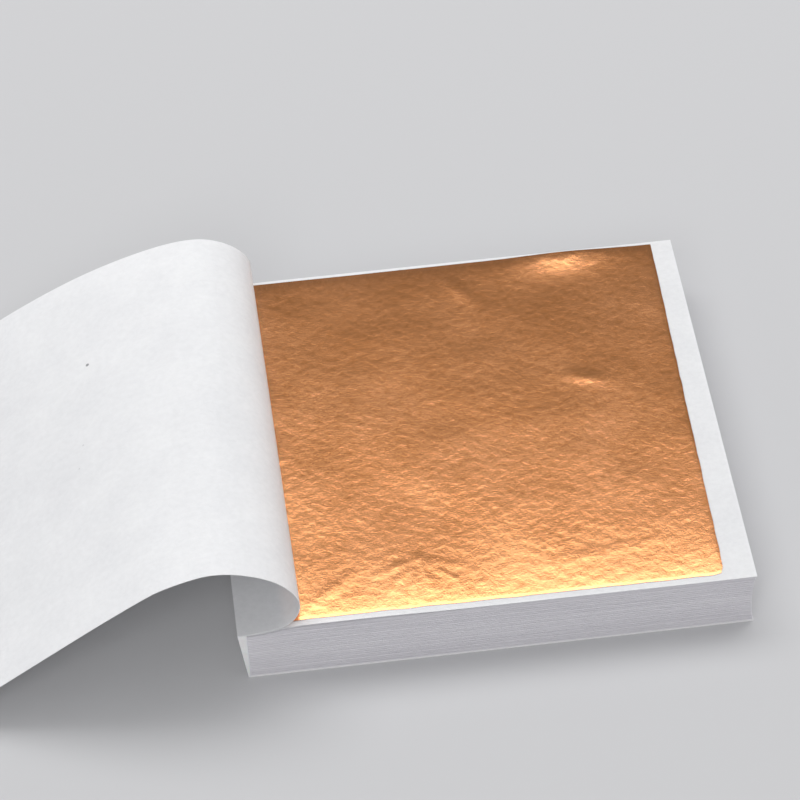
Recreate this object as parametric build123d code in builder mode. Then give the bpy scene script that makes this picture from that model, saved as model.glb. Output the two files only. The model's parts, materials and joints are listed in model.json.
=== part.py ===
from build123d import *
import math
import os

# A pad of tissue papers bound along one edge, with a loose metal leaf on each paper. The
# top page is turned back over the spine, so that the first leaf lies open.
# +X runs from the spine to the fore-edge, +Y to the back and +Z up. The origin is the
# centre of the pad's underside. All lengths are in millimetres, all turns in degrees.

# Metal leaf: the known size that the pad follows
leaf_width = 80.0
leaf_depth = 85.0
leaf_thickness = 0.02
leaf_out_of_square = 1.6

# Paper left bare round a leaf
spine_margin = 6.4
fore_edge_margin = 3.6
front_margin = 1.2
back_margin = 0.8

# Papers
paper_count = 99
papers_per_node = 9
paper_thickness = 0.08
leaf_clearance = 0.0085
backing_thickness = 0.3
backing_overhang = 0.1
open_page_overhang = 0.25

# Shape of the block: it bends down towards the spine, and its fore-edge is hollow
bend_length = 10.0
block_drop = 1.05
open_page_drop = 0.65
fore_edge_hollow = 0.5
edge_wander = 0.06

# Padding glue: a wedge that widens towards the top
glue_foot = 0.3
glue_head = 1.6

# Turned page at its root: glued down, then rising from the spine
page_thickness = 0.1
page_clearance = 0.02
page_glued = 2.0
rise_length = 2.75
rise_turn = 12.0
ramp_length = 1.85
fold_gap = 0.08

# Bends of the turned page beyond its root. Each has a length along the flat page at its
# front edge and at its back edge, and a turn that its folds share. The page is flat beyond
# the last fold, and its free end comes down on the table.
curl_front_length = 12.7
curl_back_length = 10.5
curl_turn = 111.9
curl_folds = 2
shoulder_front_length = 20.4
shoulder_back_length = 16.7
shoulder_turn = 68.5
shoulder_folds = 2
slope_front_length = 12.8
slope_back_length = 38.5
slope_turn = 20.8
slope_folds = 2

# Top leaf
top_leaf_clearance = 0.05

# Places that follow from the sizes
pad_width = spine_margin + leaf_width + fore_edge_margin
pad_depth = front_margin + leaf_depth + back_margin
spine = -pad_width / 2
fore_edge = pad_width / 2
front = -pad_depth / 2
back = pad_depth / 2
bend_start = spine + bend_length
bend_middle = spine + bend_length / 2
leaf_left = spine + spine_margin
leaf_right = fore_edge - fore_edge_margin
leaf_front = front + front_margin
pitch = paper_thickness + leaf_thickness + 2 * leaf_clearance
block_bottom = backing_thickness + leaf_clearance
block_top = block_bottom + paper_count * pitch
glue_top = block_top - open_page_drop
top_leaf_bottom = block_top + paper_thickness + top_leaf_clearance
page_height = glue_top + paper_thickness + page_clearance + page_thickness / 2
page_length = pad_width + glue_head - page_glued - rise_length
golden_turn = math.pi * (3 - math.sqrt(5))

os.makedirs("parts", exist_ok=True)


def export_piece(piece, name):
    """Labels a finished piece and writes its STEP file."""
    piece.label = name
    export_step(piece, f"parts/{name}.step")


def wander(number, edge_share):
    """Small uneven offset of an edge, different for each sheet and each of its edges."""
    return edge_wander * math.sin((number + edge_share) * golden_turn)


def side_view(left, right, bottom, thickness, drop):
    """Face of a sheet seen from the front: flat, and bent down towards the spine on two
    tangent arcs. The drop is measured at the spine, wherever the sheet's left end is."""
    radius = (bend_length**2 / 4 + drop**2 / 4) / drop
    arc_end = max(left, bend_middle)
    arc_drop = radius - math.sqrt(radius**2 - (bend_start - arc_end) ** 2)
    left_drop = drop - radius + math.sqrt(radius**2 - (left - spine) ** 2)
    with BuildSketch() as view:
        with BuildLine():
            Polyline(
                (bend_start, bottom),
                (right, bottom),
                (right, bottom + thickness),
                (bend_start, bottom + thickness),
            )
            for height in (bottom, bottom + thickness):
                upper = TangentArc((bend_start, height), (arc_end, height - arc_drop), tangent=(-1, 0))
                if left < bend_middle:
                    TangentArc(upper @ 1, (left, height - left_drop), tangent=upper % 1)
            end_drop = left_drop if left < bend_middle else arc_drop
            Line((left, bottom - end_drop), (left, bottom + thickness - end_drop))
        make_face()
    return view.sketch


def paper_drop(number):
    """Drop at the spine of a block paper or its leaf, numbered from 0 at the bottom."""
    return block_drop * ((number + 1) / paper_count) ** (3 / 2)


def paper_fore_edge(number):
    """Fore-edge of a block paper: the middle of the block is hollow."""
    height_share = 2 * (number + 1 / 2) / paper_count - 1
    return fore_edge - fore_edge_hollow * (1 - height_share**2) + wander(number, 0)


# Backing sheet: a heavier paper under the block
with BuildPart() as backing_sheet:
    with BuildSketch(Plane.XY):
        with Locations((spine, front)):
            Rectangle(pad_width + backing_overhang, pad_depth, align=(Align.MIN, Align.MIN))
    extrude(amount=backing_thickness)
export_piece(backing_sheet.part, "backing_sheet")

# Spine glue: it holds the left end of every sheet and carries the two top pages
with BuildPart() as spine_glue:
    with BuildSketch(Plane.XZ.offset(-front)):
        with BuildLine():
            Polyline(
                (spine, 0),
                (spine, glue_top),
                (spine - glue_head, glue_top),
                (spine - glue_foot, 0),
                close=True,
            )
        make_face()
    extrude(amount=-pad_depth)
export_piece(spine_glue.part, "spine_glue")

# Block papers and the leaves between them, a few sheets to a node
for first in range(0, paper_count, papers_per_node):
    numbers = range(first, min(first + papers_per_node, paper_count))
    node_number = first // papers_per_node + 1

    with BuildPart() as papers:
        for number in numbers:
            bottom = block_bottom + number * pitch
            sheet_front = front + wander(number, 1 / 3)
            sheet_back = back + wander(number, 2 / 3)
            with BuildSketch(Plane.XZ.offset(-sheet_front)):
                add(side_view(spine, paper_fore_edge(number), bottom, paper_thickness, paper_drop(number)))
            extrude(amount=sheet_front - sheet_back)
    export_piece(papers.part, f"papers_{node_number:02d}")

    with BuildPart() as leaves:
        with BuildSketch(Plane.XZ.offset(-leaf_front)):
            for number in numbers:
                bottom = block_bottom + number * pitch + paper_thickness + leaf_clearance
                add(side_view(leaf_left, leaf_right, bottom, leaf_thickness, paper_drop(number)))
        extrude(amount=-leaf_depth)
    export_piece(leaves.part, f"leaves_{node_number:02d}")

# Open page: it rests on the glue at the spine and on the block beyond the bend
with BuildPart() as open_page:
    with BuildSketch(Plane.XZ.offset(-front)):
        add(side_view(spine, fore_edge + open_page_overhang, block_top, paper_thickness, open_page_drop))
        with Locations((spine - glue_head, glue_top)):
            Rectangle(glue_head, paper_thickness, align=(Align.MIN, Align.MIN))
    extrude(amount=-pad_depth)
export_piece(open_page.part, "open_page")

# Top leaf: loose on the open page, cut a little out of square
with BuildPart() as top_leaf:
    with BuildSketch(Plane.XY.offset(top_leaf_bottom)):
        with BuildLine():
            Polyline(
                (leaf_left, leaf_front),
                (leaf_right - leaf_out_of_square, leaf_front),
                (leaf_right, leaf_front + leaf_depth),
                (leaf_left, leaf_front + leaf_depth),
                close=True,
            )
        make_face()
    extrude(amount=leaf_thickness)
export_piece(top_leaf.part, "top_leaf")


def folded(plane, fold):
    """The page's plane after it has turned up about one fold, the line between two places
    on its front and back edges."""
    front_place, back_place, turn = fold
    hinge_front = plane.from_local_coords((front_place, 0))
    hinge_back = plane.from_local_coords((back_place, pad_depth))
    hinge = Axis(hinge_front, hinge_front - hinge_back)
    return Plane(
        origin=hinge_front + (plane.origin - hinge_front).rotate(hinge, turn),
        x_dir=plane.x_dir.rotate(hinge, turn),
        z_dir=plane.z_dir.rotate(hinge, turn),
    )


def flat_stretch(start_front, start_back, end):
    """Face of the page from two places on its edges to the fold or free end beyond."""
    with BuildSketch() as stretch:
        with BuildLine():
            Polyline(
                (start_front, 0),
                (end[0] - fold_gap / 2, 0),
                (end[1] - fold_gap / 2, pad_depth),
                (start_back, pad_depth),
                close=True,
            )
        make_face()
    return stretch.sketch


# Folds of the turned page: two places along its edges, from the end of the rise, and a turn
page_bends = [
    (curl_front_length, curl_back_length, curl_turn, curl_folds),
    (shoulder_front_length, shoulder_back_length, shoulder_turn, shoulder_folds),
    (slope_front_length, slope_back_length, slope_turn, slope_folds),
]
page_folds = []
front_place = ramp_length
back_place = ramp_length
for front_length, back_length, turn, fold_count in page_bends:
    for fold_number in range(fold_count):
        bend_share = (fold_number + 1 / 2) / fold_count
        page_folds.append(
            (front_place + bend_share * front_length, back_place + bend_share * back_length, turn / fold_count)
        )
    front_place += front_length
    back_place += back_length

# Turned page root: the stretch that the glue holds, the rise and the ramp to the first fold
with BuildPart() as turned_page_root:
    with BuildSketch(Plane.XZ.offset(-front)):
        with BuildLine():
            page_edge = (spine - glue_head, page_height)
            glued = Line(page_edge, (spine - glue_head + page_glued, page_height))
            rise = JernArc(glued @ 1, glued % 1, rise_length / math.radians(rise_turn), rise_turn)
        trace(line_width=page_thickness)
    extrude(amount=-pad_depth)
    page_plane = Plane(
        origin=((rise @ 1).X, front, (rise @ 1).Y),
        x_dir=((rise % 1).X, 0, (rise % 1).Y),
        z_dir=(-(rise % 1).Y, 0, (rise % 1).X),
    )
    with BuildSketch(page_plane):
        add(flat_stretch(0, 0, page_folds[0]))
    extrude(amount=page_thickness / 2, both=True)
export_piece(turned_page_root.part, "turned_page_root")

# Turned page strips: the rest of the page, folded up from the ramp about one fold after
# another. Each strip turns on the one before it.
free_end = page_length + fold_gap / 2
strip_ends = page_folds[1:] + [(free_end, free_end)]
for strip_number, (fold, end) in enumerate(zip(page_folds, strip_ends), start=1):
    page_plane = folded(page_plane, fold)
    with BuildPart() as strip:
        with BuildSketch(page_plane):
            add(flat_stretch(fold[0] + fold_gap / 2, fold[1] + fold_gap / 2, end))
        extrude(amount=page_thickness / 2, both=True)
    export_piece(strip.part, f"turned_page_strip_{strip_number:02d}")
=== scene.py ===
"""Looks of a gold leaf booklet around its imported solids.

A pad of tissue papers lies on a table, glued along its left edge. Its top page is turned
back over the glue and curls down to the table, so that a crinkled metal leaf shows."""

import json
import math

import bpy
import numpy as np
from mathutils import Matrix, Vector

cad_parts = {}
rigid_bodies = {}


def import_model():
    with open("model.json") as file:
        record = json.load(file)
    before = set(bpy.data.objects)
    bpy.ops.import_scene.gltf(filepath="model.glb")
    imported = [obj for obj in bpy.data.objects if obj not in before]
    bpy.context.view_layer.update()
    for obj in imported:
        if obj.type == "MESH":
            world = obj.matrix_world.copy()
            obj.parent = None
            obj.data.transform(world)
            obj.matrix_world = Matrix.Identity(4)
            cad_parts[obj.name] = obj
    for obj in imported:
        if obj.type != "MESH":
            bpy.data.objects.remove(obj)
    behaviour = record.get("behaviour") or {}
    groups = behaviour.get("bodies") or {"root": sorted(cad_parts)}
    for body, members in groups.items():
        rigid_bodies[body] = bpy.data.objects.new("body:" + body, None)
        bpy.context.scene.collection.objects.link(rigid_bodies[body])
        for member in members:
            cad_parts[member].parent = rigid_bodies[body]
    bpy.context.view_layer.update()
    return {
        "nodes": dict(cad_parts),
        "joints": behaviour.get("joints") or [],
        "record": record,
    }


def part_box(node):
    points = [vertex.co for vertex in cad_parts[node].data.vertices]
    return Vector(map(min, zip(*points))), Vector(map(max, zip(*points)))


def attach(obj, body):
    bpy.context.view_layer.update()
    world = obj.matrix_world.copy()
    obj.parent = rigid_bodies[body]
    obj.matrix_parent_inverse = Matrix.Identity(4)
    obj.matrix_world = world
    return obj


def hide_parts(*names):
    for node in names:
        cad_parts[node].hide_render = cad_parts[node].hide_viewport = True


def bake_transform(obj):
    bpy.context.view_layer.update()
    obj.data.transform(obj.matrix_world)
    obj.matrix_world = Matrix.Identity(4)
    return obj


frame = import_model()

MM = 0.001

# Camera: the photograph's viewing angle, in degrees, and its lens for a sensor of 36 mm
LOOK_AT = np.array([-10.67, 20.02, 0]) * MM
DISTANCE = 0.6407
ELEVATION = 46.07
AZIMUTH = -5.23
ROLL = -2.37
LENS = 151.5

# Studio light: grey level at each height above the horizon, from 0 to 1 straight up
SKY = [(0, 0.85), (0.2, 0.45), (0.42, 0.56), (0.64, 0.16), (0.79, 0.54), (0.86, 0.50), (1, 0.95)]
SKY_TINT = (0.985, 0.99, 1)

# Thicknesses of the sheets
PAGE_THICKNESS = 0.1 * MM
OPEN_PAGE_THICKNESS = 0.08 * MM
LEAF_THICKNESS = 0.02 * MM

# Open page: its bend down to the spine, and how far it stands off the block
BEND_LENGTH = 10 * MM
OPEN_PAGE_DROP = 0.65 * MM
PUFF_HEIGHT = 0.22 * MM
LOOSE_HEIGHT = 0.12 * MM
LIP_HEIGHT = 0.2 * MM
OPEN_PAGE_WAVES = 0.018 * MM

# Top leaf: its least height above the page, and in millimetres its edges, how high its
# middle floats, and the place left of which its bed stays level
LEAF_ABOVE_PAGE = 0.09 * MM
LEAF_LEFT, LEAF_RIGHT, LEAF_FRONT, LEAF_BACK = -38.6, 41.5, -42.3, 42.8
LEAF_LIFT = 0.13
PUFF_TOP = -33

# Outline of the top leaf, in millimetres: how far it is out of square, how uneven its edges
# are and how much they are trimmed, and the cuts that round its front right corner
LEAF_OUT_OF_SQUARE = 1.6
LEAF_RAGGEDNESS = 0.09
LEAF_TRIM = 0.15
CORNER_CUT_RIGHT, CORNER_CUT_FRONT = 0.45, 0.3

# Buckles of the top leaf: centre, radii, turn and height, in millimetres and degrees
HOT_SPOT = ((24, 43.5), (10, 5), 4)
HOT_SPOT_HEIGHT = 0.5
BUCKLES = [
    ((3, 35), (4, 1.6), -58, 0.07),
    ((23, 9), (4, 1.5), -20, 0.07),
    ((20, -34), (12, 1.3), 8, 0.02),
    ((-29, -36), (6, 1.2), 35, 0.03),
]
FAN_CENTRE, FAN_REACH, FAN_RADII, FAN_HEIGHT = (-13, -31), 5, (4.5, 0.8), 0.02
FAN_TURNS = (200, 228, 252, 281, 314, 338)

# Turned page: its depth, the turn of its rise in degrees, its waves, and the narrow row of
# faces beside each seam
PAGE_DEPTH = 87 * MM
RISE_TURN = 12
PAGE_WAVES = 0.2 * MM
SEAM_ROW = 0.05 * MM

# Flat size that the page's parts are reckoned with: the least width, their depth, and the share
# of that least sheet which the glued part covers
LEAST_WIDTH = 0.0101
DECLARED_DEPTH = 0.0871
GLUED_SHARE = 0.7

# Flecks in the turned page: place on the flat sheet, radius and darkness
FLECKS = [
    ((0.0515, 0.0625, 0), 0.00034, 0.75),
    ((0.0545, 0.043, 0), 0.00024, 0.18),
    ((0.056, 0.038, 0), 0.0002, 0.2),
]


# Shapes in general

def smooth_step(value):
    """Soft step from 0 to 1 between the values 0 and 1."""
    value = np.clip(value, 0, 1)
    return value * value * (3 - 2 * value)


def rise(value, start, width):
    """Soft step from 0 at the start to 1 after the width."""
    return smooth_step((value - start) / width)


def bump_at(x, y, centre, radii, turn=0):
    """Round hump of height 1 with soft sides, in millimetres across the pad."""
    angle = math.radians(turn)
    along = (x - centre[0]) * math.cos(angle) + (y - centre[1]) * math.sin(angle)
    across = (y - centre[1]) * math.cos(angle) - (x - centre[0]) * math.sin(angle)
    return np.exp(-((along / radii[0]) ** 2) - (across / radii[1]) ** 2)


def ripples(x, y, seed, count, shortest, longest):
    """Sum of waves in random directions, as uneven as a crumpled sheet. Lengths in millimetres."""
    chance = np.random.default_rng(seed)
    total = np.zeros_like(x)
    for _ in range(count):
        length = shortest * (longest / shortest) ** chance.random()
        heading, phase = chance.random(2) * 2 * math.pi
        wave = (x * math.cos(heading) + y * math.sin(heading)) * 2 * math.pi / length
        total += np.sin(wave + phase) * length / longest
    return total / math.sqrt(count)


def closed_sheet(name, top, bottom, uv, material):
    """Thin solid between two grids of points. uv holds each point's place on the flat sheet."""
    rows, columns = top.shape[:2]
    points = np.concatenate([top.reshape(-1, 3), bottom.reshape(-1, 3)])
    count = rows * columns
    grid = np.arange(count).reshape(rows, columns)
    a, b, c, d = grid[:-1, :-1], grid[1:, :-1], grid[1:, 1:], grid[:-1, 1:]
    upper = np.stack([a, b, c, d], -1).reshape(-1, 4)
    lower = np.stack([d, c, b, a], -1).reshape(-1, 4) + count
    rim = np.concatenate([grid[:, 0], grid[-1, 1:], grid[-2::-1, -1], grid[0, -2::-1]])
    side = np.stack([rim[1:], rim[:-1], rim[:-1] + count, rim[1:] + count], -1)
    faces = np.concatenate([upper, lower, side])
    mesh = bpy.data.meshes.new(name)
    mesh.from_pydata(points.tolist(), [], faces.tolist())
    layer = mesh.uv_layers.new(name="flat")
    corners = np.zeros(len(mesh.loops), int)
    mesh.loops.foreach_get("vertex_index", corners)
    places = np.concatenate([uv.reshape(-1, 2)] * 2)[corners]
    layer.data.foreach_set("uv", places.astype(np.float32).ravel())
    mesh.materials.append(material)
    mesh.shade_smooth()
    mesh.set_sharp_from_angle(angle=math.radians(50))
    piece = bpy.data.objects.new(name, mesh)
    bpy.context.scene.collection.objects.link(piece)
    return piece


# Materials

class Nodes:
    """Short way to add linked nodes to a material."""

    def __init__(self, name):
        self.material = bpy.data.materials.new(name)
        self.material.use_nodes = True
        self.tree = self.material.node_tree
        self.shader = self.tree.nodes["Principled BSDF"]

    def add(self, kind, inputs=None, **settings):
        """New node with its settings, and with a value or a link for each of its inputs."""
        node = self.tree.nodes.new(kind)
        for key, value in settings.items():
            setattr(node, key, value)
        for key, value in (inputs or {}).items():
            self.put(node.inputs[key], value)
        return node

    def put(self, socket, value):
        if isinstance(value, bpy.types.NodeSocket):
            self.tree.links.new(value, socket)
        else:
            socket.default_value = value

    def place(self, scale, uv=False):
        """Place on the flat sheet, or in the object, stretched by a scale for each axis."""
        if uv:
            source = self.add("ShaderNodeUVMap", uv_map="flat").outputs["UV"]
        else:
            source = self.add("ShaderNodeTexCoord").outputs["Object"]
        return self.add("ShaderNodeMapping", {"Vector": source, "Scale": scale}).outputs["Vector"]

    def noise(self, vector, scale, detail, roughness, distortion=0):
        inputs = {
            "Vector": vector, "Scale": scale, "Detail": detail, "Roughness": roughness,
            "Distortion": distortion,
        }
        return self.add("ShaderNodeTexNoise", inputs).outputs["Fac"]

    def ramp(self, value, stops):
        """Colour or grey ramp: stops are pairs of a place and a colour."""
        node = self.add("ShaderNodeValToRGB", {"Fac": value})
        elements = node.color_ramp.elements
        while len(elements) < len(stops):
            elements.new(0.5)
        for element, (position, colour) in zip(elements, stops):
            element.position = position
            element.color = (*colour, 1)
        return node.outputs["Color"]

    def mix(self, share, a, b, blend="MIX"):
        node = self.add("ShaderNodeMix", data_type="RGBA", blend_type=blend)
        self.put(node.inputs["Factor"], share)
        self.put(node.inputs[6], a)
        self.put(node.inputs[7], b)
        return node.outputs[2]

    def math(self, operation, a, b):
        node = self.add("ShaderNodeMath", operation=operation)
        self.put(node.inputs[0], a)
        self.put(node.inputs[1], b)
        return node.outputs[0]

    def bump(self, height, strength, distance):
        inputs = {"Height": height, "Strength": strength, "Distance": distance}
        self.put(self.shader.inputs["Normal"], self.add("ShaderNodeBump", inputs).outputs["Normal"])


def tissue_material():
    """White tissue paper: faint clouding, short fibres and a very fine tooth."""
    made = Nodes("tissue_paper")
    flat = made.place((1, 1, 1), uv=True)
    shades = [(0.3, (0.84, 0.843, 0.86)), (0.7, (0.90, 0.902, 0.914))]
    clouds = made.ramp(made.noise(flat, 90, 4, 0.6), shades)
    mottle = made.ramp(made.noise(flat, 900, 3, 0.65), [(0.35, (0.955,) * 3), (0.65, (1.0,) * 3)])
    fibres = made.noise(made.place((700, 4200, 1), uv=True), 1, 2, 0.5, 1.5)
    threads = made.ramp(fibres, [(0.62, (1.0,) * 3), (0.74, (0.955, 0.955, 0.965))])
    colour = made.mix(1.0, made.mix(1.0, clouds, mottle, "MULTIPLY"), threads, "MULTIPLY")
    for place, size, shade in FLECKS:
        away = made.add("ShaderNodeVectorMath", {0: flat, 1: place}, operation="DISTANCE").outputs["Value"]
        inside = made.math("LESS_THAN", away, size)
        colour = made.mix(made.math("MULTIPLY", inside, shade), colour, (0.12, 0.12, 0.13, 1))
    tooth = made.math("ADD", made.noise(flat, 2600, 3, 0.7), fibres)
    made.bump(tooth, 0.25, 0.00006)
    made.put(made.shader.inputs["Base Color"], colour)
    made.shader.inputs["Roughness"].default_value = 0.78
    made.shader.inputs["Specular IOR Level"].default_value = 0.3
    made.shader.inputs["Subsurface Weight"].default_value = 0.3
    made.shader.inputs["Subsurface Radius"].default_value = (1.0, 1.0, 1.0)
    made.shader.inputs["Subsurface Scale"].default_value = 0.0006
    return made.material


def block_material():
    """Edges of stacked papers: every sheet is a little lighter or darker than the next."""
    made = Nodes("stacked_paper")
    sheets = made.noise(made.place((40, 40, 5200)), 1, 4, 0.7)
    bands = made.noise(made.place((14, 14, 900)), 1, 3, 0.6)
    tone = made.math("ADD", made.math("MULTIPLY", sheets, 0.7), made.math("MULTIPLY", bands, 0.3))
    shades = [(0.32, (0.72, 0.705, 0.745)), (0.5, (0.80, 0.785, 0.82)), (0.7, (0.86, 0.85, 0.875))]
    colour = made.ramp(tone, shades)
    made.put(made.shader.inputs["Base Color"], colour)
    made.bump(sheets, 0.3, 0.00006)
    made.shader.inputs["Roughness"].default_value = 0.85
    made.shader.inputs["Specular IOR Level"].default_value = 0.2
    return made.material


def backing_material():
    """Heavier paper with a fine grain."""
    made = Nodes("backing_paper")
    grain = made.noise(made.place((1, 1, 1)), 1400, 4, 0.6)
    colour = made.ramp(grain, [(0.3, (0.86, 0.855, 0.86)), (0.7, (0.92, 0.915, 0.92))])
    made.put(made.shader.inputs["Base Color"], colour)
    made.bump(grain, 0.3, 0.00006)
    made.shader.inputs["Roughness"].default_value = 0.8
    return made.material


def glue_material():
    """Dried padding glue: off-white, smooth, brushed on along the spine."""
    made = Nodes("padding_glue")
    strokes = made.noise(made.place((300, 60, 900)), 1, 3, 0.6)
    colour = made.ramp(strokes, [(0.3, (0.86, 0.855, 0.855)), (0.7, (0.92, 0.915, 0.91))])
    made.put(made.shader.inputs["Base Color"], colour)
    made.bump(strokes, 0.35, 0.0001)
    made.shader.inputs["Roughness"].default_value = 0.5
    made.shader.inputs["Subsurface Weight"].default_value = 0.2
    made.shader.inputs["Subsurface Scale"].default_value = 0.001
    return made.material


def leaf_material():
    """Copper-gold leaf: bright beaten metal with fine crinkles, and painted shade darkening its creases."""
    made = Nodes("metal_leaf")
    flat = made.place((1, 1, 1), uv=True)
    crinkle = made.noise(flat, 900, 4, 0.6, 0.4)
    grain = made.noise(flat, 3200, 2, 0.6)
    clouds = made.noise(flat, 60, 3, 0.5)
    colour = made.ramp(clouds, [(0.3, (0.86, 0.372, 0.152)), (0.7, (0.91, 0.412, 0.182))])
    # Painted shade: the colour is darkened where the crinkle noise is low, in the leaf's creases.
    painted_crease_shade = made.ramp(crinkle, [(0.34, (0.93, 0.90, 0.84)), (0.52, (1.0,) * 3)])
    colour = made.mix(1.0, colour, painted_crease_shade, "MULTIPLY")
    height = made.math("ADD", crinkle, made.math("MULTIPLY", grain, 0.15))
    made.put(made.shader.inputs["Base Color"], colour)
    made.bump(height, 0.42, 0.00006)
    rough = made.math("ADD", made.math("MULTIPLY", clouds, 0.08), 0.13)
    made.put(made.shader.inputs["Roughness"], rough)
    made.shader.inputs["Metallic"].default_value = 1.0
    return made.material


def floor_material():
    """Plain matt floor."""
    made = Nodes("pale_floor")
    made.shader.inputs["Base Color"].default_value = (0.58, 0.58, 0.59, 1)
    made.shader.inputs["Roughness"].default_value = 0.9
    made.shader.inputs["Specular IOR Level"].default_value = 0.1
    return made.material


# The pad

def puff(x, y):
    """How far the open page stands off the block, most near its front left corner, in metres."""
    corner = rise(x, -44, 9) * (1 - rise(x, -22, 26)) * (1 - rise(y, -43.5, 26))
    loose = rise(x, -38, 5) * (1 - rise(x, 5, 35))
    return PUFF_HEIGHT * corner + LOOSE_HEIGHT * loose


def front_lip(x, y):
    """The open page's front edge turns up a little near the spine, in metres."""
    along = rise(x, -44, 6) * (1 - rise(x, -26, 16))
    return LIP_HEIGHT * along * (1 - rise(y, -43.5, 1.3))


def open_page_height(x, y, top):
    """Height of the open page's surface: bent down to the spine, puffed up at the front."""
    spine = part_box("papers_01")[0].x / MM
    share = np.clip((spine + BEND_LENGTH / MM - x) / (BEND_LENGTH / MM), 0, 1)
    bend = np.where(share < 0.5, 2 * share**2, 1 - 2 * (1 - share) ** 2)
    waves = OPEN_PAGE_WAVES * (1 + ripples(x, y, 4, 14, 9, 40)) * rise(x, -44, 12)
    return top - OPEN_PAGE_DROP * bend + puff(x, y) + front_lip(x, y) + waves


def make_open_page(material):
    """The paper under the leaf."""
    low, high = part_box("open_page")
    across = np.linspace(low.x, high.x, 130)
    along = np.linspace(low.y, high.y, 110)
    x, y = np.meshgrid(across / MM, along / MM, indexing="ij")
    surface = open_page_height(x, y, high.z)
    points = np.stack([x * MM, y * MM, surface], -1)
    below = points - [0, 0, OPEN_PAGE_THICKNESS]
    page = closed_sheet("open_page_sheet", points, below, np.stack([x, y], -1) * MM, material)
    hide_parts("open_page")
    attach(page, "pad")


def fan_creases(x, y):
    """Creases that spread from one place near the leaf's front edge."""
    total = np.zeros_like(x)
    for turn in FAN_TURNS:
        angle = math.radians(turn)
        centre = (FAN_CENTRE[0] + FAN_REACH * math.cos(angle), FAN_CENTRE[1] + FAN_REACH * math.sin(angle))
        total += FAN_HEIGHT * bump_at(x, y, centre, FAN_RADII, turn)
    return total


def leaf_relief(x, y):
    """Crinkles and buckles of the leaf above its page, in millimetres."""
    hot_spot = bump_at(x, y, *HOT_SPOT)
    fine = ripples(x, y * 1.3, 11, 44, 1.4, 5) * (0.007 + 0.018 * hot_spot)
    broad = ripples(x, y, 12, 16, 8, 30) * (0.015 + 0.015 * rise(y, -38, 30))
    buckles = sum(height * bump_at(x, y, centre, radii, turn) for centre, radii, turn, height in BUCKLES)
    at_left_edge = bump_at(x, y, (LEAF_LEFT, 0), (1.9, 90))
    pleats = 0.035 * at_left_edge * ripples(x * 0.4, y, 15, 10, 1.6, 3.5)
    return fine + broad + HOT_SPOT_HEIGHT * hot_spot + buckles + fan_creases(x, y) + pleats


def leaf_lift(x, y):
    """The leaf floats on its page and rolls down to it at its edges, in millimetres."""
    sides = (1 - np.exp((LEAF_LEFT - x) / 1.5)) * (1 - np.exp((x - LEAF_RIGHT) / 1.2))
    ends = (1 - np.exp((LEAF_FRONT - y) / 6)) * (1 - np.exp((y - LEAF_BACK) / 1.5))
    return LEAF_LIFT * sides * ends


def leaf_grid(low, high):
    """Places over the leaf, in millimetres, and how far each is from the left, right or front
    edge. The right and front edges are a little ragged and meet in a rounded corner."""
    u, v = np.meshgrid(np.linspace(0, 1, 221), np.linspace(0, 1, 235), indexing="ij")
    width, depth = (high.x - low.x) / MM, (high.y - low.y) / MM
    cut = np.exp(-((v * depth / 0.9) ** 2)) * CORNER_CUT_RIGHT
    ragged = LEAF_RAGGEDNESS * ripples(v * depth, v * 0, 21, 12, 2, 12)
    right = high.x / MM - LEAF_OUT_OF_SQUARE * (1 - v) - cut - LEAF_TRIM + ragged
    x = low.x / MM + u * (right - low.x / MM)
    cut = np.exp(-(((1 - u) * width) ** 2)) * CORNER_CUT_FRONT
    ragged = LEAF_RAGGEDNESS * ripples(u * width, u * 0, 22, 14, 2, 12)
    y = low.y / MM + v * depth + (1 - v) * (cut + LEAF_TRIM + ragged)
    return x, y, np.minimum(np.minimum(u, 1 - u) * width, v * depth)


def make_leaf(material):
    """The loose leaf that shows. Its bed doesn't fall towards the spine as the page does, so
    that the leaf slides off clear of the page."""
    low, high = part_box("top_leaf")
    page_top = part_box("open_page")[1].z
    x, y, edge = leaf_grid(low, high)
    relief = (leaf_relief(x, y) + 0.04) * rise(edge, -0.3, 0.8) + leaf_lift(x, y)
    bed = page_top + puff(np.maximum(x, PUFF_TOP), y) + LEAF_ABOVE_PAGE
    surface = bed + np.maximum(relief, 0.01) * MM
    points = np.stack([x * MM, y * MM, surface + LEAF_THICKNESS], -1)
    below = points - [0, 0, LEAF_THICKNESS]
    leaf = closed_sheet("metal_leaf_top", points, below, np.stack([x, y], -1) * MM, material)
    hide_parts("top_leaf")
    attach(leaf, "loose_leaf")


# The turned page

def page_joints():
    """Hinges of the turned page, from its root to its free end."""
    return [j for j in frame["joints"] if j["type"] == "hinge"]


def strip_of(joint):
    """Name of the strip that a hinge turns."""
    return frame["record"]["behaviour"]["bodies"][joint["child"]][0]


def strip_at(joint):
    """A hinge's place and axis, and the points of its strip with their reach along the axis."""
    place, axis = np.array(joint["pos_m"]), np.array(joint["axis"])
    points = np.array([v.co for v in frame["nodes"][strip_of(joint)].data.vertices])
    return place, axis, points, (points - place) @ axis


def fold_ends(joint):
    """Ends of a fold, on the page's front edge and on its back edge."""
    place, axis, points, reach = strip_at(joint)
    apart = np.linalg.norm(points - place - reach[:, None] * axis, axis=1)
    near = reach[apart < 0.2 * MM]
    return np.array([place + near.min() * axis, place + near.max() * axis])


def free_ends(joint):
    """Front and back corner of the page's free end."""
    place, axis, points, reach = strip_at(joint)
    corners = []
    for side in (reach < 0, reach >= 0):
        group = points[side]
        apart = np.linalg.norm(np.cross(group - place, axis), axis=1)
        corners.append(group[apart > apart.max() - 0.2 * MM].mean(0))
    return np.array(corners)


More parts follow.
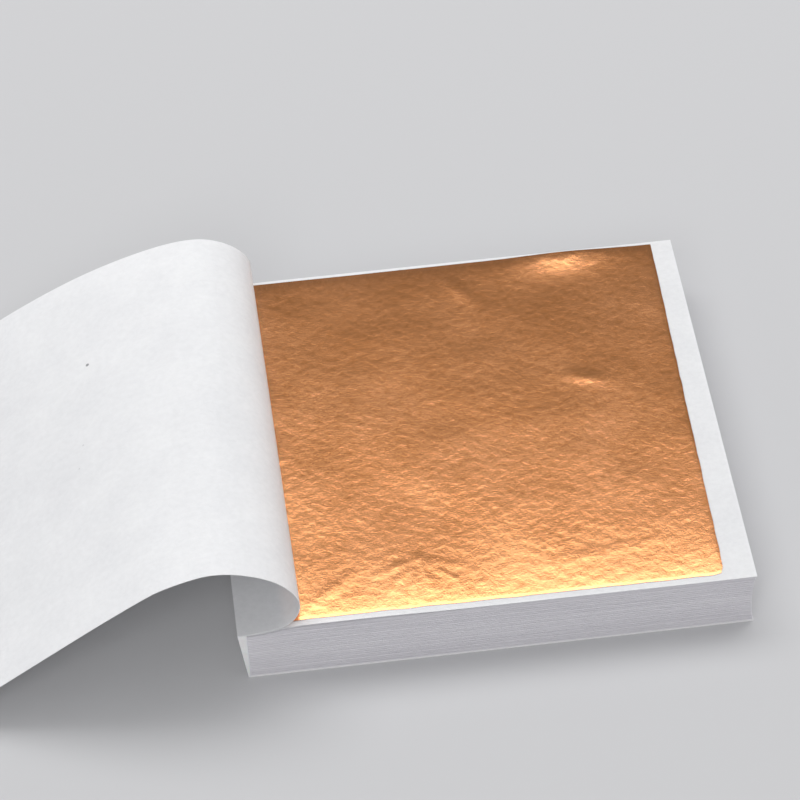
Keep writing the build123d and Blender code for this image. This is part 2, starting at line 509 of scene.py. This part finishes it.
def page_lines():
    """Lines across the page that shape it: its glued edge, the foot of its rise, its folds and
    its free end. The page touches the flat between two lines halfway."""
    low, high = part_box("turned_page_root")
    joints = page_joints()
    folds = [fold_ends(j) for j in joints]
    height = low.z + PAGE_THICKNESS / 2
    slope = math.tan(math.radians(RISE_TURN))
    foot = folds[0][0][0] - (folds[0][0][2] - height) / slope
    lines = [np.array([[x, y, height] for y in (low.y, high.y)]) for x in (low.x, foot)]
    return lines + folds + [free_ends(joints[-1])]


def ruled(lines, index, steps):
    """Points and normals of the page over one line: an arc from halfway to the line before
    to halfway to the line after, at the front edge and at the back edge, with rulings between."""
    before, here, after = lines[index - 1 : index + 2]
    start = before if index == 1 else (before + here) / 2
    end = (here + after) / 2
    row = SEAM_ROW / max(np.linalg.norm(end[0] - start[0]), np.linalg.norm(end[1] - start[1]))
    t = np.concatenate([[0, row], np.linspace(0, 1, steps + 1)[1:-1], [1 - row, 1]])[:, None, None]
    edge = (1 - t) ** 2 * start + 2 * t * (1 - t) * here + t**2 * end
    speed = 2 * (1 - t) * (here - start) + 2 * t * (end - here)
    return between(edge, speed)


def flat_end(lines, steps):
    """The flat stretch from halfway beyond the last fold to the free end."""
    start, end = (lines[-2] + lines[-1]) / 2, lines[-1]
    row = SEAM_ROW / np.linalg.norm(end[0] - start[0])
    t = np.concatenate([[0, row], np.linspace(0, 1, steps + 1)[1:]])[:, None, None]
    edge = start + t * (end - start)
    return between(edge, np.broadcast_to(end - start, edge.shape))


def between(edge, speed):
    """Points and normals on the straight lines from the front edge to the back edge."""
    share = np.linspace(0, 1, 49)[None, :, None]
    points = edge[:, :1] * (1 - share) + edge[:, 1:] * share
    speeds = speed[:, :1] * (1 - share) + speed[:, 1:] * share
    rulings = np.broadcast_to(edge[:, 1:] - edge[:, :1], points.shape)
    normals = np.cross(speeds, rulings)
    return points, normals / np.linalg.norm(normals, axis=-1, keepdims=True)


def make_page_part(name, points, normals, start_length, material):
    """One part of the turned page, between two seams that its neighbours share. Also gives the
    length of the page up to its end, and its flat size and area."""
    steps = np.linalg.norm(np.diff(points, axis=0), axis=-1)
    lengths = start_length + np.concatenate([np.zeros((1, steps.shape[1])), np.cumsum(steps, 0)])
    across = np.broadcast_to(np.linspace(0, PAGE_DEPTH, points.shape[1]), lengths.shape)
    uv = np.stack([lengths, across], -1)
    free = rise(lengths / MM, 12, 20)
    waves = PAGE_WAVES * free * ripples(lengths / MM, across / MM, 31, 12, 18, 60)
    points = points + normals * waves[..., None]
    half = normals * PAGE_THICKNESS / 2
    part = closed_sheet(name, points + half, points - half, uv, material)
    width = float(steps.mean(1).sum())
    return part, lengths[-1], (max(width, LEAST_WIDTH), DECLARED_DEPTH), width * PAGE_DEPTH


def blend_span(joint, points):
    """Start and end of the turn over a fold: square to it, inside both seams."""
    place, axis = np.array(joint["pos_m"]), np.array(joint["axis"])
    heading = points[-1].mean(0) - points[0].mean(0)
    heading = heading - (heading @ axis) * axis
    heading /= np.linalg.norm(heading)
    start = ((points[0] - place) @ heading).max()
    end = ((points[-1] - place) @ heading).min()
    return place + start * heading, place + end * heading


def make_turned_page(material):
    """The page in parts: one rides the pad, one is shaped over each fold, one rides the last strip."""
    lines, joints = page_lines(), page_joints()
    points, normals = ruled(lines, 1, steps=14)
    length = np.zeros(points.shape[1])
    part, length, _, _ = make_page_part("turned_page_glued", points, normals, length, material)
    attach(part, joints[0]["parent"])
    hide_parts("turned_page_root")
    flat = (LEAST_WIDTH, DECLARED_DEPTH)
    area = LEAST_WIDTH * DECLARED_DEPTH * GLUED_SHARE
    held_by = "turned_page_root"
    for number, joint in enumerate(joints, start=1):
        points, normals = ruled(lines, number + 1, steps=18)
        name = f"turned_page_bend_{number}"
        part, length, flat, area = make_page_part(name, points, normals, length, material)
        start, end = blend_span(joint, points)
        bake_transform(part)
        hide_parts(held_by, strip_of(joint))
        held_by = strip_of(joint)
    points, normals = flat_end(lines, steps=30)
    part, length, flat, area = make_page_part("turned_page_end", points, normals, length, material)
    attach(part, joints[-1]["child"])
    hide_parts(held_by)


# Finishes of the solids that stay

def dress_solids():
    """Finishes of the solids that stay, by their names. Gives the leaf's finish back."""
    stacked, backing, glue = block_material(), backing_material(), glue_material()
    metal = leaf_material()
    for name, node in frame["nodes"].items():
        finish = stacked if name.startswith("papers") else None
        finish = backing if name == "backing_sheet" else finish
        finish = glue if name == "spine_glue" else finish
        finish = metal if name.startswith("leaves") else finish
        if finish:
            node.data.materials.clear()
            node.data.materials.append(finish)
    return metal


# Studio

def make_floor():
    """Level floor, 8 m across, below the pad."""
    mesh = bpy.data.meshes.new("floor")
    half = 4.0
    corners = [(-half, -half, 0), (half, -half, 0), (half, half, 0), (-half, half, 0)]
    mesh.from_pydata(corners, [], [(0, 1, 2, 3)])
    mesh.materials.append(floor_material())
    floor = bpy.data.objects.new("floor", mesh)
    bpy.context.scene.collection.objects.link(floor)


def facing(right, up, back, roll):
    """Rotation of a lamp or camera that looks away from back, rolled by an angle in degrees."""
    cosine, sine = math.cos(math.radians(roll)), math.sin(math.radians(roll))
    right, up = right * cosine + up * sine, up * cosine - right * sine
    return Matrix(np.stack([right, up, back], 1).tolist()).to_euler()


def area_light(name, place, target, size, power, spin=0):
    """Rectangular lamp that faces a target, turned about its own axis by the spin."""
    light = bpy.data.lights.new(name, "AREA")
    light.shape = "RECTANGLE"
    light.size, light.size_y = size
    light.energy = power
    lamp = bpy.data.objects.new(name, light)
    lamp.location = place
    back = np.array(place, float) - np.array(target, float)
    back /= np.linalg.norm(back)
    right = np.cross((0, 1, 0), back)
    right /= np.linalg.norm(right)
    lamp.rotation_euler = facing(right, np.cross(back, right), back, spin)
    bpy.context.scene.collection.objects.link(lamp)


def make_sky():
    """Soft light from all round, lighter and darker with height."""
    world = bpy.data.worlds.new("studio")
    world.use_nodes = True
    tree = world.node_tree
    direction = tree.nodes.new("ShaderNodeTexCoord").outputs["Generated"]
    height = tree.nodes.new("ShaderNodeSeparateXYZ")
    ramp = tree.nodes.new("ShaderNodeValToRGB")
    while len(ramp.color_ramp.elements) < len(SKY):
        ramp.color_ramp.elements.new(0.5)
    for stop, (place, grey) in zip(ramp.color_ramp.elements, SKY):
        stop.position = place
        stop.color = (*(grey * tint for tint in SKY_TINT), 1)
    tree.links.new(direction, height.inputs[0])
    tree.links.new(height.outputs["Z"], ramp.inputs[0])
    tree.links.new(ramp.outputs[0], tree.nodes["Background"].inputs["Color"])
    bpy.context.scene.world = world


def make_light():
    """A long softbox overhead towards the back, which the leaf mirrors, and a small one in front."""
    make_sky()
    area_light(
        "overhead_softbox", place=(0, 0.52, 1.1), target=(0, 0.52, 0), size=(1.6, 0.65), power=10.0, spin=-12
    )
    area_light(
        "front_softbox", place=(-0.25, -0.8, 0.75), target=(-0.02, 0, 0.01), size=(0.6, 0.5), power=2.8
    )


def make_camera():
    """Camera that looks at the pad as the photograph does."""
    azimuth, elevation = math.radians(AZIMUTH), math.radians(ELEVATION)
    level = math.cos(elevation)
    back = np.array([math.sin(azimuth) * level, -math.cos(azimuth) * level, math.sin(elevation)])
    right = np.cross(-back, (0, 0, 1))
    right /= np.linalg.norm(right)
    data = bpy.data.cameras.new("camera")
    data.lens = LENS
    data.sensor_width = 36
    camera = bpy.data.objects.new("camera", data)
    camera.location = LOOK_AT + back * DISTANCE
    camera.rotation_euler = facing(right, np.cross(right, -back), back, ROLL)
    bpy.context.scene.collection.objects.link(camera)
    bpy.context.scene.camera = camera


make_camera()
tissue = tissue_material()
make_open_page(tissue)
make_leaf(dress_solids())
make_turned_page(tissue)
make_floor()
make_light()
bpy.context.scene.view_settings.view_transform = "Standard"
